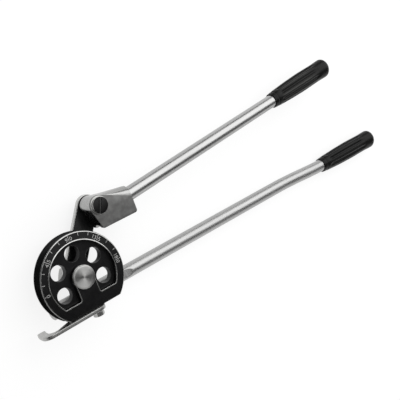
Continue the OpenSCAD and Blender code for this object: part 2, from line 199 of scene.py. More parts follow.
def rim_row(radius, height, edge):
    """One level of the rim: an arc from the flat edge right round to the flat edge, then straight back."""
    low = np.arcsin(edge / radius)
    arc = circle(radius, steps=301, start=low, end=np.pi - low)
    s = np.linspace(0, 1, 50)[1:-1, None]
    line = arc[-1] * (1 - s) + arc[0] * s
    return np.column_stack([np.vstack([arc, line]), np.full(len(arc) + len(line), height)])


def pocket(bottom, foot):
    """Outline of a pocket: the band's inner circle cut by a straight bottom, round the hub and its pedestal,
    with rounds at the pedestal's feet and the two ends."""
    reach, end_corner = 2.0, 0.95
    low, spread = np.arcsin(bottom / inner), reach / inner
    arc = circle(inner, steps=181, start=low + spread, end=np.pi - low - spread)
    end, neck = inner * np.cos(low), np.arccos(pedestal / hub)
    return np.vstack([
        arc,
        rounded(arc[-1], (-end, bottom), (-end + reach, bottom), end_corner),
        rounded((-pedestal - 5, bottom), (-pedestal, bottom), (-pedestal, bottom + 5), foot),
        circle(hub, steps=91, start=np.pi + neck, end=-neck),
        rounded((pedestal, bottom + 5), (pedestal, bottom), (pedestal + 5, bottom), foot),
        rounded((end - reach, bottom), (end, bottom), arc[0], end_corner)])


groove_turn = np.radians(np.linspace(88, -88, 45))
groove_rows = zip(rim - groove * np.cos(groove_turn), mid + groove * np.sin(groove_turn))
rim_line = [rim_row(rim - step, front - drop, edge - flat) for step, drop, edge in (
    (1.35, 0, flat_bevel), (0.95, 0.1, 0.2), (0.55, 0.3, 0.12), (0.25, 0.64, 0.05), (rim_lip, bare_cut, 0))]
rim_rows = [rim_line[-1], rim_row(rim, front - bare_cut - rim_lip, -flat),
            rim_row(rim, mid + groove + groove_land, -flat), *[rim_row(r, z, -flat) for r, z in groove_rows],
            rim_row(rim, mid - groove - groove_land, -flat), rim_row(rim, back + back_bevel, -flat),
            rim_row(rim - back_bevel, back, flat_bevel - flat)]
front_pocket, back_pocket = pocket(bottom=-26.3, foot=2.6), pocket(bottom=-22.7, foot=0.95)
bead_line = [(bead, front), (bead - 0.15, front + 0.05), (bead - 0.45, front + 0.14), (bead - 0.8, front + 0.23),
             (bead - 1.05, front + 0.27), (0.15, front + 0.2), (0.04, front + 0.02), (0, front - 0.25)]
a = np.linspace(0, np.pi / 2, 6)
fillet = np.column_stack([-floor_round * (1 - np.cos(a)), front_floor + floor_round * (1 - np.sin(a))])
hole_centres = hole_ring * np.column_stack([np.cos(hole_angles), np.sin(hole_angles)])
holes = [circle(hole_r, c) for c in hole_centres]
pad_corners = [(pad_half, pad_low), (pad_half, pad_high), (-pad_half, pad_high), (-pad_half, pad_low)]
pad = np.vstack([rounded(pad_corners[i - 1], pad_corners[i], pad_corners[(i + 1) % 4], pad_round) for i in range(4)])
die_black = surface("satin_black_die", (0.0065, 0.0065, 0.0068), 0.38, 0.0, 1200, relief=2.2e-5, shade=0.3,
                    specular=0.16)
bare_cut_metal = surface("bare_cut_metal", (0.47, 0.47, 0.46), 0.16, 0.95, 1200, relief=2e-6, shade=0.2, swing=0.05)
worn_edge = surface("worn_edge", (0.1, 0.1, 0.1), 0.4, 0.8, 1200, relief=5e-6, shade=0.4)
piece("die_body", "die_and_fixed_handle", ["bending_die"], [
    skin(rim_line[:-1], mark=1), skin([rim_line[-2], *rim_rows]),
    cap(front, rim_line[0][:, :2], moved_out(front_pocket, bead)),
    wall(front_pocket, bead_line, 1),
    wall(front_pocket, [bead_line[-1], *fillet]),
    cap(front_floor, moved_out(front_pocket, -floor_round), *[moved_out(h, hole_edge) for h in holes]),
    *[wall(h, [(hole_edge, front_floor), (0, front_floor - hole_edge)], 2) for h in holes],
    *[wall(h, [(0, front_floor - hole_edge), (0, back_floor + hole_back_edge), (hole_back_edge, back_floor)])
      for h in holes],
    cap(back_floor, moved_out(back_pocket, -back_round), *[moved_out(h, hole_back_edge) for h in holes]),
    wall(back_pocket, [(-back_round, back_floor), (0, back_floor - back_round), (0, back + back_edge),
                       (back_edge, back)]),
    cap(back, rim_rows[-1][:, :2], moved_out(back_pocket, back_edge)),
    *plate(pad, die_low.z / MM, back + pad_sunk, pad_edge)], [die_black, bare_cut_metal, worn_edge])


# Angle scale: lines every 15 degrees and a number every 45, cut through the black into bare metal.
# The numbers stand with their tops outwards, split by their line, and 0 is on the hook's side.
mark_height, mark_root, mark_width = 0.06, 0.05, 0.65
tick_end, zero_start, numbered_start, plain_start = 55.4, 53.9, 47.7, 51.4
digit_ring, digit_height, digit_half_depth, size_for_height = 50.4, 5.2, 0.055, 1.38


def tick(angle, start, end):
    """A thin bar along a radius: a rectangle turned by the angle, lifted from just under to just over the face."""
    along, across = np.array([np.cos(angle), np.sin(angle)]), np.array([-np.sin(angle), np.cos(angle)])
    loop = np.array([along * r + across * s * mark_width / 2
                     for r, s in ((start, -1), (end, -1), (end, 1), (start, 1))])
    low, high = front - mark_root, front + mark_height
    return [wall(loop, [(0, high), (0, low)]), cap(high, loop), cap(low, loop)]


def number(text, angle, radius, aside, height):
    """A digit as a mesh: its outline is filled, given thickness, set aside from its line and turned outwards."""
    curve = bpy.data.curves.new("number", "FONT")
    curve.body, curve.align_x, curve.align_y = text, "CENTER", "CENTER"
    curve.size, curve.extrude = height * size_for_height, digit_half_depth
    curve.resolution_u = 4
    holder = bpy.data.objects.new("number", curve)
    drawn = bpy.data.meshes.new_from_object(holder)
    points = np.empty(len(drawn.vertices) * 3)
    drawn.vertices.foreach_get("co", points)
    x, y, z = points.reshape(-1, 3).T + [[aside], [0], [0]]
    cos, sin = np.cos(angle), np.sin(angle)
    placed = np.column_stack([(radius + y) * cos + x * sin, (radius + y) * sin - x * cos, front + z])
    drawn.calc_loop_triangles()
    corners = np.empty(len(drawn.loop_triangles) * 3, int)
    drawn.loop_triangles.foreach_get("vertices", corners)
    bpy.data.objects.remove(holder)
    bpy.data.curves.remove(curve)
    bpy.data.meshes.remove(drawn)
    return placed, corners.reshape(-1, 3), 0


marks = []
digit_places = {"0": (0,), "45": (-3, 3), "90": (-3, 3), "135": (-6.3, -3, 3), "180": (-6.3, -3, 3)}
for reading in range(0, 181, 15):
    angle = np.radians(180 - reading)
    marks += tick(angle, tick_end, zero_start if reading == 0 else numbered_start if reading % 45 == 0 else plain_start)
    for digit, place in zip(str(reading), digit_places.get(str(reading), ())):
        marks.append(number(digit, angle, digit_ring, place, digit_height))
scale_bright = surface("scale_bright", (0.56, 0.56, 0.55), 0.48, 0.9, 1200, relief=4e-6, shade=0.15)
piece("scale_marks", "die_and_fixed_handle", [], marks, [scale_bright])


# Axle: a turned steel pin with a wide round head that bears on the die's hub, threaded behind for its nut.
# The lathe's fine rings on the head spread each reflection into bright and dark wedges.
def turned(profile, centre=(0, 0), steps=128, closed=False, mark=0):
    """A profile of (radius, height) pairs turned about an upright axis through the centre."""
    return skin([np.column_stack([circle(r, centre, steps), np.full(steps, z)]) for r, z in profile], closed, mark)


quarter_turn, spiral_feed = 0.25, 0.064
turned_steel = surface("turned_steel", (0.5, 0.5, 0.49), 0.31, 1.0, 700, relief=8e-7, shade=0.08, swing=0.03)
turned_shader = turned_steel.node_tree.nodes["Principled BSDF"]
turned_shader.inputs["Anisotropic"].default_value = 0.95
turned_shader.inputs["Anisotropic Rotation"].default_value = quarter_turn + spiral_feed
ring_way = turned_steel.node_tree.nodes.new("ShaderNodeTangent")
ring_way.direction_type, ring_way.uv_map = "UV_MAP", "round_the_axis"
turned_steel.node_tree.links.new(ring_way.outputs["Tangent"], turned_shader.inputs["Tangent"])
lathe_place, lathe_split, lathe_rings, lathe_bump = (turned_steel.node_tree.nodes.new("ShaderNode" + n) for n in (
    "UVMap", "SeparateXYZ", "TexNoise", "Bump"))
lathe_place.uv_map, lathe_rings.noise_dimensions = "round_the_axis", "1D"
lathe_rings.inputs["Scale"].default_value, lathe_rings.inputs["Detail"].default_value = 90.0, 3.0
lathe_bump.inputs["Strength"].default_value, lathe_bump.inputs["Distance"].default_value = 0.5, 6e-6
for start, end in ((lathe_place.outputs["UV"], lathe_split.inputs["Vector"]),
                   (lathe_split.outputs["Y"], lathe_rings.inputs["W"]),
                   (lathe_rings.outputs["Fac"], lathe_bump.inputs["Height"]),
                   (turned_shader.inputs["Normal"].links[0].from_socket, lathe_bump.inputs["Normal"]),
                   (lathe_bump.outputs["Normal"], turned_shader.inputs["Normal"])):
    turned_steel.node_tree.links.new(start, end)
axle_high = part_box("axle")[1]
axle_top, axle_r, head_r, axle_bevel, head_edge = axle_high.z / MM, 8.0, axle_high.x / MM, 1.0, 0.45


def round_the_axis(made, centre):
    """A UV map whose U goes round the axis and V away from it: each corner's angle is counted from its face's
    own angle, so no face wraps."""
    across_scale, along_scale = 0.02, 0.05
    mesh = made.data
    spots, corners = np.empty(len(mesh.vertices) * 3), np.empty(len(mesh.loops), int)
    mesh.vertices.foreach_get("co", spots)
    mesh.loops.foreach_get("vertex_index", corners)
    sizes, middles = np.empty(len(mesh.polygons), int), np.empty(len(mesh.polygons) * 3)
    mesh.polygons.foreach_get("loop_total", sizes)
    mesh.polygons.foreach_get("center", middles)
    offset = spots.reshape(-1, 3)[corners] - (*np.array(centre) * MM, 0)
    middle = np.repeat(middles.reshape(-1, 3), sizes, 0) - (*np.array(centre) * MM, 0)
    own, radius = np.arctan2(middle[:, 1], middle[:, 0]), np.hypot(offset[:, 0], offset[:, 1])
    away = (np.arctan2(offset[:, 1], offset[:, 0]) - own + np.pi) % (2 * np.pi) - np.pi
    u = (own + np.where(radius > 1e-7, away, 0)) / (2 * np.pi)
    layer = mesh.uv_layers.new(name="round_the_axis")
    v = radius / across_scale + offset[:, 2] / along_scale
    layer.data.foreach_set("uv", np.column_stack([u, v]).ravel())


axle_turned = piece("axle_turned", "die_and_fixed_handle", ["axle"], [turned([
    (0, 0), (axle_r - axle_bevel, 0), (axle_r, axle_bevel), (axle_r, front), (head_r, front),
    (head_r, axle_top - head_edge), (head_r - 0.12, axle_top - 0.13), (head_r - head_edge, axle_top),
    *[(r, axle_top) for r in (12, 9, 6, 3, 1, 0)]])], [turned_steel])
round_the_axis(axle_turned, (0, 0))


# Spacer and washer on the axle: flat zinc plated rings that carry the link clear of the die.
# They are blanked and tumbled, so their edges are softly rounded.
ring_r = 14.5
zinc = surface("zinc_plate", (0.4, 0.4, 0.39), 0.3, 1.0, 1100, relief=2.5e-6, shade=0.12)


def ring(low, high, outer, bore, centre=(0, 0), soft=0.25):
    """A ring: a rectangle with softened corners, between the bore and the outer radius, turned about its axis."""
    cut = soft * 0.3
    return turned([(bore, low), (outer - soft, low), (outer - cut, low + cut), (outer, low + soft),
                   (outer, high - soft), (outer - cut, high - cut), (outer - soft, high), (bore, high)],
                  centre, closed=True)


def heights(node):
    """Lowest and highest level of a node, in mm."""
    low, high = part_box(node)
    return low.z / MM, high.z / MM


for name, node, soft in (("spacer_ring", "axle_spacer", 0.5), ("axle_washer_ring", "axle_washer", 0.3)):
    piece(name, "die_and_fixed_handle", [node], [ring(*heights(node), ring_r, axle_r, soft=soft)], [zinc])


# Axle nut: a tall zinc plated hexagon nut that also stands on the bench.
# Its corners are turned off at both ends, which leaves an arc on each flat.
def hexagon(low, high, flats, bore, centre=(0, 0), facing=0.0, steps=120, solid=False):
    """A nut: at each level the radius is the smaller of the hexagon's, half the flats over the cosine of the
    angle from the nearest flat, and a 30 degree cone's, then it closes over its bore."""
    a = np.linspace(0, 2 * np.pi, steps, endpoint=False)
    mouth, face_share, turned_share = 0.6, 0.97, 0.62
    face = flats / 2 * face_share
    six = flats / 2 / np.cos((a - facing) % (np.pi / 3) - np.pi / 6)
    drop = (six.max() - flats / 2) * turned_share
    ends = np.linspace(0, 1, 6)
    levels = np.concatenate([low + drop * ends, high - drop * ends[::-1]])
    cone = face + np.minimum(levels - low, high - levels) / drop * (six.max() - face)
    sides = [np.minimum(six, c) for c in cone]
    middle = 0 if solid else bore + mouth
    inside = [(middle, low), *zip(sides, levels), (middle, high)]
    inside += [] if solid else [(bore, high - mouth), (bore, low + mouth)]
    return skin([np.column_stack([centre[0] + r * np.cos(a), centre[1] + r * np.sin(a), np.full(steps, z)])
                 for r, z in inside], closed=not solid)


axle_nut_flats = 24.0
piece("axle_hex_nut", "die_and_fixed_handle", ["axle_nut"],
      [hexagon(*heights("axle_nut"), axle_nut_flats, axle_r)], [zinc])


# Fixed handle: a satin plated round steel bar, milled flat where it seats on the die's pad.
# Two counterbored holes take its screws, and a small set before the grip shifts it sideways.
bar_r, bar_y, bar_z = 9.5, -31.2, 12.2
screw_places, counterbore = (-22.0, 22.0), [(0, 0), (7.3, 0), (6.7, 3.4), (6.7, 10.5), (0, 10.5)]
seat, seat_end, cutter = 7.6, 79.0, 30.0
set_start, set_end, set_slope, set_ease = 381.0, 456.87, np.tan(np.radians(3.3)), 25.0
satin_plate = surface("satin_plated_bar", (0.42, 0.42, 0.417), 0.37, 1.0, 800, (0.06, 1, 1), 1e-6, 0.06, 0.04)


def ramp(distance):
    """Nought before a bend, the distance after it, and a parabola across the eased length about the bend."""
    near = (np.clip(distance + set_ease, 0, 2 * set_ease)) ** 2 / (4 * set_ease)
    return np.where(distance > set_ease, distance, near)


def bar_ends(x, radius):
    """Radius along a bar: full, less a 1 mm bevel at the first end, and closing to nothing at both."""
    return np.concatenate([[0], np.minimum(radius, radius - 1 + (x[1:-1] - x[1])), [0]])


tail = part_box("lower_handle")[0].x / MM
x = np.concatenate([tail + np.array([0, 0, 0.5, 1]), np.linspace(tail + 2, 66, 40), np.linspace(68.5, seat_end, 12),
                    np.linspace(82, 350, 30), np.linspace(355, 485, 60), [520, 585, 585]])
angles = np.sort(np.concatenate([np.linspace(0, 2 * np.pi, 120, endpoint=False),
                                 np.array([np.arcsin(seat / bar_r), np.pi - np.arcsin(seat / bar_r)])]))
axis_y = bar_y - set_slope * (ramp(x - set_start) - ramp(x - set_end))
run_out = np.clip(x - (seat_end - np.sqrt(cutter ** 2 - (cutter - bar_r + seat) ** 2)), 0, cutter * 0.9)
ceiling = np.where(x > seat_end, bar_r, seat + cutter - np.sqrt(cutter ** 2 - run_out ** 2))
radius = bar_ends(x, bar_r)
section = np.minimum(radius[:, None] * np.sin(angles), np.minimum(ceiling, bar_r)[:, None])
lower_rows = np.stack([np.repeat(x[:, None], len(angles), 1),
                       axis_y[:, None] + radius[:, None] * np.cos(angles), bar_z + section], -1)
lower_bar = piece("lower_bar", "die_and_fixed_handle", ["lower_handle"], [skin(lower_rows)],
                  [satin_plate])


def drilled(made, shell):
    """Cuts a closed shell out of a piece: the difference is worked out once and kept as its mesh."""
    points, faces = shell[:2]
    tool = bpy.data.meshes.new("drill")
    tool.from_pydata((points * MM).tolist(), [], faces.tolist())
    work = bmesh.new()
    work.from_mesh(tool)
    bmesh.ops.remove_doubles(work, verts=work.verts, dist=merge_gap)
    bmesh.ops.recalc_face_normals(work, faces=work.faces)
    work.to_mesh(tool)
    work.free()
    holder = bpy.data.objects.new("drill", tool)
    bpy.context.scene.collection.objects.link(holder)
    cut = made.modifiers.new("drill", "BOOLEAN")
    cut.operation, cut.solver, cut.object = "DIFFERENCE", "EXACT", holder
    whole = bpy.data.meshes.new_from_object(made.evaluated_get(bpy.context.evaluated_depsgraph_get()))
    made.modifiers.remove(cut)
    bpy.data.objects.remove(holder)
    bpy.data.meshes.remove(tool)
    old, made.data = made.data, whole
    bpy.data.meshes.remove(old)
    whole.name = made.name
    whole.set_sharp_from_angle(angle=sharp_angle)


milled = surface("milled_seat", (0.46, 0.46, 0.455), 0.42, 1.0, 900, (1, 0.12, 1), 3e-6, 0.12)
lower_bar.data.materials.append(milled)
middles, upward = (np.empty(len(lower_bar.data.polygons) * 3) for _ in range(2))
lower_bar.data.polygons.foreach_get("center", middles)
lower_bar.data.polygons.foreach_get("normal", upward)
seat_level, facing_up = (bar_z + seat - 0.01) * MM, 0.9
on_seat = (middles[::3] < seat_end * MM) & (middles[2::3] > seat_level) & (upward[2::3] > facing_up)
lower_bar.data.polygons.foreach_set("material_index", on_seat.astype(int))
for place in screw_places:
    drilled(lower_bar, turned(counterbore, (place, bar_y), 64))


# Screws and lock washers that hold the bar to the pad, from behind: black oxide socket screws over spring
# washers. Their solids are right as they are and only take a finish.
black_oxide = surface("black_oxide", (0.03, 0.03, 0.031), 0.34, 0.55, 1300, relief=6e-6, shade=0.25)


def finished(node, finish):
    """Puts a finish in every material slot of a CAD node."""
    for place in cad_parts[node].material_slots:
        place.material = finish


finished("handle_screws", black_oxide)
finished("handle_lock_washers", zinc)


# Grips: black rubber sleeves, oval across, that swell towards a thick rounded end. They are moulded with long
# flutes, start with a plain collar, and are pushed on to the two bars.
grip_length, grip_wide, grip_high, end_round, flutes = 132.0, 14.7, 12.2, 11.5, 8
# The two shares below set how much painted highlight the ridges get: strong on the upper grip, faint on the lower.
mouth_depth, mouth_slack, mouth_bevel, lower_sheen, upper_sheen = 6.0, 0.02, 0.3, 0.12, 1.0
rubber = surface("moulded_rubber", (0.0045, 0.0045, 0.0043), 0.3, 0.0, 1700, relief=1.6e-5, shade=0.25, specular=0.14)
rubber_tree = rubber.node_tree
# The ridges are mixed towards a paler colour by their attribute. This is a painted highlight along the ridges, not the
# rubber's own colour.
painted_ridge_sheen, paler = rubber_tree.nodes.new("ShaderNodeAttribute"), rubber_tree.nodes.new("ShaderNodeMix")
painted_ridge_sheen.attribute_name, paler.data_type = "painted_ridge_sheen", "RGBA"
rubber_colour = rubber_tree.nodes["Principled BSDF"].inputs["Base Color"]
plain_colour, sheen_colour, sheened_colour = paler.inputs[6], paler.inputs[7], paler.outputs[2]
sheen_colour.default_value = (0.08, 0.08, 0.077, 1)
rubber_tree.links.new(painted_ridge_sheen.outputs["Fac"], paler.inputs["Factor"])
rubber_tree.links.new(rubber_colour.links[0].from_socket, plain_colour)
rubber_tree.links.new(sheened_colour, rubber_colour)


def grip(start, way):
    """A sleeve along a bar: ovals whose half width and half height follow smoothed knots, less flutes whose depth
    is a cosine across each flute, eased in and out along the length. It closes in its mouth and over its end."""
    collar_end, collar_step, collar_rise, neck_at, neck_width, neck_depth = 7.2, 0.5, 0.12, 8.2, 0.8, 0.5
    flute_from, fade_in, flute_to, fade_out, flute_share, half_depth = 12, 10, 108, 16, 0.72, 0.75
    straight, rim_edge = grip_length - end_round, 0.4
    s = np.concatenate([np.linspace(rim_edge, straight - rim_edge, 240), [straight]])
    window = np.linspace(-7, 7, 29)[:, None]
    knots = [-9, 0, 10, 40, 70, 105.6, 116, 140]
    wide = np.interp(s + window, knots, [10.2, 10.75, 12.35, 13.95, 14.7, 14.15, 14.7, 14.7]).mean(0)
    high = np.interp(s + window, knots, [10.3, 10.42, 10.54, 11.58, 12.2, 11.78, 12.2, 12.2]).mean(0)
    collar = np.clip((collar_end - s) / collar_step, 0, 1) * collar_rise
    collar -= neck_depth * np.exp(-((s - neck_at) / neck_width) ** 2)
    ease = np.clip((s - flute_from) / fade_in, 0, 1) * np.clip((flute_to - s) / fade_out, 0, 1)
    ease = (ease * ease * (3 - 2 * ease))[:, None]
    a = np.linspace(0, 2 * np.pi, 200, endpoint=False)
    across = (a * flutes / (2 * np.pi)) % 1 * 2 - 1
    dip = half_depth * (1 + np.cos(np.pi * np.clip(across / flute_share, -1, 1)))
    wide, high = (v[:, None] + collar[:, None] - ease * dip for v in (wide, high))
    b = np.linspace(0, np.pi / 2, 17)[1:]
    bore, flare = bar_r + mouth_slack, bar_r + mouth_bevel
    ends = [(bar_r, bar_r, mouth_depth, 0), (bore, bore, mouth_depth, 1), (bore, bore, mouth_bevel, 1),
            (flare, flare, 0, 1), (wide[0] - rim_edge, high[0] - rim_edge, 0, 1)]
    shrink = end_round * (1 - np.cos(b))
    tip = [(grip_wide - e * grip_wide / grip_high, grip_high - e, straight + end_round * np.sin(t), 1)
           for e, t in zip(shrink, b)]
    rows = [*ends, *zip(wide, high, s, np.ones(len(s))), *tip, (0, 0, grip_length, 1)]
    along, up = np.array([*way, 0.0]), np.array([0, 0, 1.0])
    over = np.cross(up, along)
    return skin([np.asarray(start) + along * d + (w * k * np.cos(a))[:, None] * over + (h * k * np.sin(a))[:, None] * up
                 for w, h, d, k in rows])


def rub_ridges(made, start, way, share):
    """Marks how much painted highlight each point gets: most on the narrow ridge between two flutes, by the grip's
    share times the sixth power of the distance across, eased in and out along the length."""
    sheen_from, sheen_in, sheen_to, sheen_out = 12, 12, 106, 30
    spots = np.empty(len(made.data.vertices) * 3)
    made.data.vertices.foreach_get("co", spots)
    offset = spots.reshape(-1, 3) / MM - np.asarray(start)
    along = offset[:, 0] * way[0] + offset[:, 1] * way[1]
    side = offset[:, 1] * way[0] - offset[:, 0] * way[1]
    turn = np.arctan2(offset[:, 2] / grip_high, side / grip_wide) % (2 * np.pi)
    across = np.abs((turn * flutes / (2 * np.pi)) % 1 * 2 - 1)
    ease = np.clip((along - sheen_from) / sheen_in, 0, 1) * np.clip((sheen_to - along) / sheen_out, 0, 1)
    layer = made.data.attributes.new("painted_ridge_sheen", "FLOAT", "POINT")
    layer.data.foreach_set("value", (share * across ** 6 * ease).astype(np.float32))


lower_mouth = (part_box("lower_grip")[0].x / MM, axis_y[-1], bar_z)
rub_ridges(piece("lower_sleeve", "die_and_fixed_handle", ["lower_grip"],
                 [grip(lower_mouth, (1, 0))], [rubber]), lower_mouth, (1, 0), lower_sheen)


# Hook: a flat J of zinc plated steel plate that turns on a shoulder screw in the die's flat edge.
# Its notch holds the tube, and a dowel in the flat edge stops its arm.
hook_low, hook_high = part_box("hook")
hook_front, tip_left, tip_low = hook_high.z / MM, hook_low.x / MM, hook_low.z / MM
pivot_x, pivot_z, end_r = 3.0, hook_front - 11.0, 11.0
lead, lead_slope = np.radians(50), np.radians(25)
outer_round, inner_round, hook_edge = 2.4, 2.0, 0.55
hook_flats, shank_r, shank_end, hook_washer_r, hook_bore = 13.0, 3.9, 30.0, 7.6, 4.0
pivot = np.array([pivot_x, pivot_z])
tip_out, tip_in = pivot_x - tip_left, np.hypot(rim + pivot_x, pivot_z - mid) + groove
notch_way, join = np.arctan2(pivot_z - mid, rim + pivot_x), np.arcsin((mid - pivot_z) / end_r)
tip_ways = [np.arcsin((pivot_z - tip_low) / r) for r in (tip_out, tip_in)]
tip_corners = [(pivot_x - r * np.cos(t), tip_low) for r, t in zip((tip_out, tip_in), tip_ways)]
outer_short, inner_short = 0.04, 0.05
outer_arc = circle(tip_out, pivot, 12, np.pi, np.pi + tip_ways[0] - outer_short)
inner_arc = circle(tip_in, pivot, 12, np.pi + tip_ways[1] - inner_short, np.pi + notch_way)
hook_outline = np.vstack([
    circle(end_r, (tip_left + end_r, pivot_z), 25, np.pi / 2, np.pi)[:-1], outer_arc,
    rounded(outer_arc[-1], tip_corners[0], tip_corners[1], outer_round),
    rounded(tip_corners[0], tip_corners[1], inner_arc[0], inner_round),
    inner_arc[:-1], circle(groove, (-rim, mid), 41, np.pi + notch_way, lead),
    [(groove * (np.cos(lead) + np.sin(lead) / np.tan(lead_slope)) - rim, mid)],
    circle(end_r, pivot, 61, np.pi - join, 2.5 * np.pi)])
upright = [(1, 0, 0), (0, 0, -1), (0, 1, 0)]
hook_zinc = surface("hook_zinc", (0.45, 0.45, 0.44), 0.36, 1.0, 900, (0.35, 1, 1), 8e-6, 0.14)
piece("hook_plate", "hook", ["hook"],
      plate(hook_outline, -hook_high.y / MM, -hook_low.y / MM, hook_edge), [hook_zinc], upright)
screw_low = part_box("hook_screw")[0]
washer_low, washer_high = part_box("hook_washer")
head_back = -washer_low.y / MM
piece("hook_hex_screw", "die_and_fixed_handle", ["hook_screw"],
      [hexagon(head_back + 0.01, -screw_low.y / MM, hook_flats, 0, pivot, 0.2, solid=True),
       turned([(0, shank_end), (shank_r, shank_end), (shank_r, head_back + 1), (0, head_back + 1)], pivot, 48)],
      [zinc], upright)
piece("hook_washer_ring", "die_and_fixed_handle", ["hook_washer"],
      [ring(-washer_high.y / MM, head_back, hook_washer_r, hook_bore, pivot, 0.2)], [zinc], upright)
finished("hook_stop", zinc)


# Link: a strap of flat steel with round ends and bright edges; the near black of its faces is a painted dark
# reflection.
# It turns on the axle in a bronze bush and carries the pivot pin at its other end.
pin_low, pin_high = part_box("pivot_pin")
pin = np.array([pin_low.x + pin_high.x, pin_low.y + pin_high.y]) / 2 / MM
link_way, link_r, strap_edge = np.arctan2(pin[1], pin[0]), 14.5, 0.9
# The faces' near-black colour is a painted dark reflection, set beside bright steel for the edges.
link_face_painted_reflection = surface("link_face_painted_reflection", (0.012, 0.012, 0.012), 0.3, 0.3, 1000, relief=8e-6, shade=0.3, specular=0.3)
link_bright = surface("link_ground_edge", (0.52, 0.52, 0.51), 0.27, 1.0, 1000, (1, 1, 0.1), 2e-6, 0.1)
link_outline = np.vstack([circle(link_r, pin, 61, link_way - np.pi / 2, link_way + np.pi / 2),
                          circle(link_r, (0, 0), 61, link_way + np.pi / 2, link_way + 1.5 * np.pi)])
piece("link_strap", "link", ["link"], plate(link_outline, *heights("link"), strap_edge, 0, 1),
      [link_face_painted_reflection, link_bright])
bronze = surface("bearing_bronze", (0.5, 0.33, 0.15), 0.36, 1.0, 900)
finished("link_bush", bronze)
finished("shoe_bush", bronze)


# Pivot pin: a steel pin with a slotted round head, bright on its turned side; its face is near black, a painted dark
# reflection.
# A bright washer lies under the head, a thick one behind the shoe, and a nut holds it to the link.
pin_r, pin_head_r, head_top = 6.0, 10.5, pin_high.z / MM
head_seat, slot_floor, slot_half = head_top - 4.0, head_top - 1.1, 0.95
slot_way, pin_edge, pin_nut_flats = link_way + np.radians(12), 0.35, 18.0
# The head's near-black colour is a painted dark reflection on what is bright steel elsewhere on the pin.
pin_face_painted_reflection = surface("pin_face_painted_reflection", (0.006, 0.006, 0.0062), 0.3, 0.0, 1100, relief=8e-6, shade=0.3, specular=0.18)
slot_grey = surface("slot_grey", (0.07, 0.07, 0.07), 0.4, 0.9, 900, relief=8e-6, shade=0.4)
tilt = np.arcsin(slot_half / pin_head_r)
half_heads, half_low = [], slot_floor - 0.1
for side in (0, np.pi):
    half = circle(pin_head_r, pin, 61, slot_way + side + tilt, slot_way + side + np.pi - tilt)
    half_heads += [wall(half, [(-pin_edge, head_top), (-0.1, head_top - 0.1), (0, head_top - pin_edge)], 0),
                   wall(half, [(0, head_top - pin_edge), (0, half_low)], 1),
                   cap(head_top, moved_out(half, -pin_edge)), cap(half_low, half)]
pitch, thread_depth, thread_top = 1.75, 0.75, heights("pin_nut")[0] + 1


def threaded(low, high, radius, centre, steps=128):
    """A screw thread: along the height the radius goes in and out by a triangle wave of the height in pitches less
    the share of the turn, under a bevel at its end, which closes to a flat."""
    rows_per_pitch, end_bevel = 10, 1.2
    z = np.linspace(low, high, int((high - low) / pitch * rows_per_pitch))[:, None]
    a = np.linspace(0, 2 * np.pi, steps, endpoint=False)[None]
    tooth = np.abs((z / pitch - a / (2 * np.pi)) % 1 * 2 - 1)
    r = np.minimum(radius - thread_depth * tooth, radius - end_bevel + (z - low))
    r = np.vstack([0 * a, r, radius + 0 * a])
    z = np.vstack([[[low]], z, [[high]]])
    return np.stack([centre[0] + r * np.cos(a), centre[1] + r * np.sin(a), z + 0 * a], -1)


pin_thread = skin(threaded(pin_low.z / MM, thread_top, pin_r, pin), mark=1)
pin_turned = turned([(pin_r, thread_top), (pin_r, head_seat), (pin_head_r, head_seat), (pin_head_r, slot_floor)],
                    pin, mark=1)
piece("pivot_pin_slotted", "link", ["pivot_pin"],
      [pin_thread, pin_turned, turned([(pin_head_r, slot_floor), (0, slot_floor)], pin, mark=2), *half_heads],
      [pin_face_painted_reflection, link_bright, slot_grey])
for name, node, slot, outer, soft in (("pin_bright_washer", "pin_head_washer", "bright_steel", 12.0, 0.5),
                                      ("thrust_ring", "thrust_washer", "zinc_steel", 11.5, 0.4),
                                      ("pin_nut_ring", "pin_nut_washer", "zinc_steel", 12.0, 0.3)):
    piece(name, "link", [node], [ring(*heights(node), outer, pin_r, pin, soft)], [zinc])
piece("pin_hex_nut", "link", ["pin_nut"],
      [hexagon(*heights("pin_nut"), pin_nut_flats, pin_r, pin, link_way)], [zinc])


# Forming shoe: a steel forging with a boss round the pin, a half-round groove for the tube and a round
# socket end. Its sides keep the forged grain, and its round top is polished. A set screw locks the bar.
shoe_low, shoe_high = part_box("shoe")
half_width, boss, shoe_end = (shoe_high.z - shoe_low.z) / MM / 2, 13.0, 48.5
face, toe, tube_line, bar_drop = -29.5, -5.0, -33.0, -6.9
toe_round, corner_round, round_edge = 2.0, 3.5, 0.35
screw_from_end, screw_hole_r, hole_lip, hole_depth = 15.5, 3.05, 0.35, 3.0
handle_turn = np.radians(6.2)
handle_way = np.array([np.cos(handle_turn), np.sin(handle_turn)])
forged = surface("forged_grain", (0.165, 0.165, 0.162), 0.42, 0.85, 1300, relief=2.4e-5, shade=0.22, swing=0.1)
polished = surface("polished_round", (0.36, 0.36, 0.355), 0.22, 1.0, 900, (0.12, 1, 1), 4e-6, 0.1)


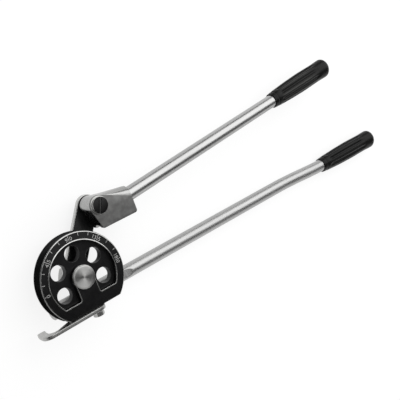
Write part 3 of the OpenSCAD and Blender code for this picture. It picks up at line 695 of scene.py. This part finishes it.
def shoe_outlines(across):
    """Side outlines of the shoe, one for each distance across it: a small round at the toe, the flat face, a round
    at its end, the upright end up to the round socket's height, a line that just touches the boss, the boss, and a
    line down to the toe. Whatever lies below the groove's circle is lifted on to it."""
    w = np.asarray(across, float)[:, None]
    low = tube_line + np.sqrt(np.maximum(groove ** 2 - w ** 2, 0))
    high = bar_drop + np.sqrt(np.maximum(boss ** 2 - w ** 2, 0))
    start = np.arctan2(high, shoe_end) + np.arccos(boss / np.hypot(shoe_end, high))
    toe_spot, corner_spot = np.array([toe, face]) + toe_round, np.array([shoe_end - corner_round, face + corner_round])
    stop = np.arctan2(toe_spot[1], toe_spot[0]) % (2 * np.pi) - np.arccos((boss - toe_round) / np.hypot(*toe_spot))
    heel = boss * np.array([np.cos(stop), np.sin(stop)])
    t, fine = np.linspace(0, 1, 13)[None, :-1], np.linspace(0, 1, 37)[None, :-1]
    toe_turn, corner_turn = stop + (1.5 * np.pi - stop) * t, np.pi / 2 * (3 + t)
    toe_arc = toe_spot[0] + toe_round * np.cos(toe_turn), toe_spot[1] + toe_round * np.sin(toe_turn)
    bottom = toe_spot[0] * (1 - t) + corner_spot[0] * t, face + 0 * t
    corner = corner_spot[0] + corner_round * np.cos(corner_turn), corner_spot[1] + corner_round * np.sin(corner_turn)
    upright_end = shoe_end + 0 * t, corner_spot[1] * (1 - t) + high * t
    top = shoe_end * (1 - t) + boss * np.cos(start) * t, high * (1 - t) + boss * np.sin(start) * t
    b = start + (stop - start) * np.linspace(0, 1, 61)[None, :-1]
    back_edge = heel[0] * (1 - fine) + toe_arc[0][:, :1] * fine, heel[1] * (1 - fine) + toe_arc[1][:, :1] * fine
    parts = (toe_arc, bottom, corner, upright_end, top, (boss * np.cos(b), boss * np.sin(b)), back_edge)
    u, v = (np.concatenate([p[k] + 0 * w for p in parts], 1) for k in (0, 1))
    return np.stack([u, np.maximum(v, low)], -1)


inner_half = half_width - round_edge
w = np.unique(np.concatenate([inner_half * np.sin(np.linspace(-1, 1, 61) * np.pi / 2), [-groove, groove],
                              groove * np.sin(np.linspace(-1, 1, 31) * np.pi / 2)]))
slices = shoe_outlines(w)
a = np.linspace(0, np.pi / 2, 6)
side_outline = shoe_outlines([half_width])[0]
lips = [(moved_out(side_outline, -round_edge * (1 - np.cos(t))), inner_half + round_edge * np.sin(t)) for t in a]
shoe_rows = [np.column_stack([pin + loop, np.full(len(loop), mid + d)]) for loop, d in (
    *[(loop, -d) for loop, d in lips[::-1]], *zip(slices[1:-1], w[1:-1]), *lips)]
shoe_rim = pin + lips[-1][0]
socket = pin + (shoe_end, bar_drop)
screw_hole = circle(screw_hole_r, socket - screw_from_end * handle_way, 48)
shoe_back = shoe_low.z / MM
piece("forming_shoe", "forming_handle", ["shoe"], [
    skin(shoe_rows, mark=1), cap(shoe_high.z / MM, shoe_rim),
    cap(shoe_back, shoe_rim, moved_out(screw_hole, hole_lip)),
    wall(screw_hole, [(hole_lip, shoe_back), (0, shoe_back + hole_lip), (0, shoe_back + hole_depth)]),
    cap(shoe_back + hole_depth, screw_hole)], [forged, polished])
finished("handle_set_screw", black_oxide)


# Forming handle: a straight bar of the same size, plated brighter, set in the shoe's socket at a slight angle.
# It takes the second grip at its far end.
bare_length, in_grip, in_socket = 286.0, 124.0, 20.0
far_end = bare_length + in_grip
d = np.concatenate([np.array([0, 0, 0.5, 1]) - in_socket, np.linspace(2 - in_socket, far_end, 60), [far_end]])
a = np.linspace(0, 2 * np.pi, 120, endpoint=False)
radius = bar_ends(d, bar_r)
side_way = np.array([-handle_way[1], handle_way[0]])
flat_spots = socket + d[:, None, None] * handle_way + (radius[:, None] * np.cos(a))[..., None] * side_way
upper_rows = np.concatenate([flat_spots, mid + (radius[:, None] * np.sin(a))[..., None]], -1)
bright_plate = surface("bright_plated_bar", (0.42, 0.42, 0.417), 0.27, 1.0, 800, (0.06, 1, 1), 1e-6, 0.06, 0.04)
piece("upper_bar", "forming_handle", ["upper_handle"], [skin(upper_rows)], [bright_plate])
upper_mouth = (*(socket + bare_length * handle_way), mid)
rub_ridges(piece("upper_sleeve", "forming_handle", ["upper_grip"],
                 [grip(upper_mouth, handle_way)], [rubber]), upper_mouth, handle_way, upper_sheen)


# Stage: a pale floor, one large soft lamp over the far side, an even pale surround and grey cards beside the
# lamp that give the bright metal its dark lines. The camera stands where the photograph was taken.
def shown_rays(tree):
    """One where a ray comes from the camera, a glossy surface or through glass, else nought."""
    rays = tree.nodes.new("ShaderNodeLightPath")
    total = rays.outputs["Is Camera Ray"]
    for name in ("Is Glossy Ray", "Is Transmission Ray"):
        both = tree.nodes.new("ShaderNodeMath")
        both.operation, both.use_clamp = "ADD", True
        tree.links.new(total, both.inputs[0])
        tree.links.new(rays.outputs[name], both.inputs[1])
        total = both.outputs[0]
    return total


scene = bpy.context.scene
scene.view_settings.view_transform = "Standard"
world = bpy.data.worlds.new("surround")
world.use_nodes = True
scene.world = world
surround = world.node_tree.nodes["Background"]
surround.inputs["Color"].default_value = (1, 1, 1, 1)
strength = world.node_tree.nodes.new("ShaderNodeMapRange")
strength.inputs["To Min"].default_value, strength.inputs["To Max"].default_value = 0.6, 1.0
world.node_tree.links.new(shown_rays(world.node_tree), strength.inputs["Value"])
world.node_tree.links.new(strength.outputs["Result"], surround.inputs["Strength"])


def staged(name, corners, finish):
    """A flat four-sided sheet of the stage, through its corners."""
    mesh = bpy.data.meshes.new(name)
    mesh.from_pydata(corners, [], [(0, 1, 2, 3)])
    mesh.materials.append(finish)
    made = bpy.data.objects.new(name, mesh)
    scene.collection.objects.link(made)
    return made


floor_pale = bpy.data.materials.new("floor_pale")
floor_pale.use_nodes = True
floor_tree = floor_pale.node_tree
floor_tree.nodes.remove(floor_tree.nodes["Principled BSDF"])
matt, lift, sum_up = (floor_tree.nodes.new("ShaderNode" + n) for n in ("BsdfDiffuse", "Emission", "AddShader"))
matt.inputs["Color"].default_value = (0.25, 0.25, 0.25, 1)
lift_level = floor_tree.nodes.new("ShaderNodeMath")
lift_level.operation = "MULTIPLY"
lift_level.inputs[1].default_value = 0.81
floor_tree.links.new(shown_rays(floor_tree), lift_level.inputs[0])
floor_tree.links.new(lift_level.outputs[0], lift.inputs["Strength"])
floor_tree.links.new(matt.outputs[0], sum_up.inputs[0])
floor_tree.links.new(lift.outputs[0], sum_up.inputs[1])
floor_tree.links.new(sum_up.outputs[0], floor_tree.nodes["Material Output"].inputs["Surface"])
floor_half, floor_level = 8.0, -0.0002
staged("floor", [(x * floor_half, y * floor_half, floor_level) for x, y in ((-1, -1), (1, -1), (1, 1), (-1, 1))],
       floor_pale)

card_distance, card_left = 1.25, -4.0
for name, shade_of_card, card_from, card_to, card_right in (
        ("near_card", 0.34, 99, 127, 3.2), ("pale_card", 0.55, 127, 148, 3.2), ("far_card", 0.3, 8, 22, 3.2),
        ("left_card", 0.3, 24, 98, -0.05)):
    grey = surface(name + "_grey", (shade_of_card,) * 3, 0.9, 0.0, 40)
    ends = [(card_distance * np.cos(t), card_distance * np.sin(t)) for t in np.radians([card_from, card_to])]
    card = staged(name, [(card_left, *ends[0]), (card_right, *ends[0]),
                         (card_right, *ends[1]), (card_left, *ends[1])], grey)
    card.visible_camera = card.visible_shadow = card.visible_diffuse = False

lamp_data = bpy.data.lights.new("soft_lamp", "AREA")
lamp_data.shape, lamp_data.size, lamp_data.size_y = "RECTANGLE", 2.7, 1.42
lamp_level, lamp_turn, lamp_along, lamp_distance = 1.05, np.radians(60), 1.35, 1.25
lamp_data.energy = lamp_level * np.pi * lamp_data.size * lamp_data.size_y
lamp = bpy.data.objects.new("soft_lamp", lamp_data)
lamp_spot = Vector((lamp_along, lamp_distance * np.cos(lamp_turn), lamp_distance * np.sin(lamp_turn)))
aim = Vector((0, lamp_spot.y, lamp_spot.z)).normalized()
side = Vector((1, 0, 0))
lamp.matrix_world = Matrix((side, aim.cross(side), aim)).transposed().to_4x4()
lamp.location = lamp_spot
scene.collection.objects.link(lamp)

camera_data = bpy.data.cameras.new("camera")
camera_data.lens, camera_data.sensor_width = 67.24, 36
camera_data.clip_start = 0.02
camera = bpy.data.objects.new("camera", camera_data)
camera_spot, right = Vector((-0.3544, 0.2313, 0.8728)), Vector((0.7403, -0.3346, 0.5832))
up, ahead = Vector((0.3946, 0.9185, 0.0261)), Vector((0.5444, -0.2108, -0.8119))
camera.matrix_world = Matrix.Translation(camera_spot) @ Matrix((right, up, -ahead)).transposed().to_4x4()
scene.collection.objects.link(camera)
scene.camera = camera
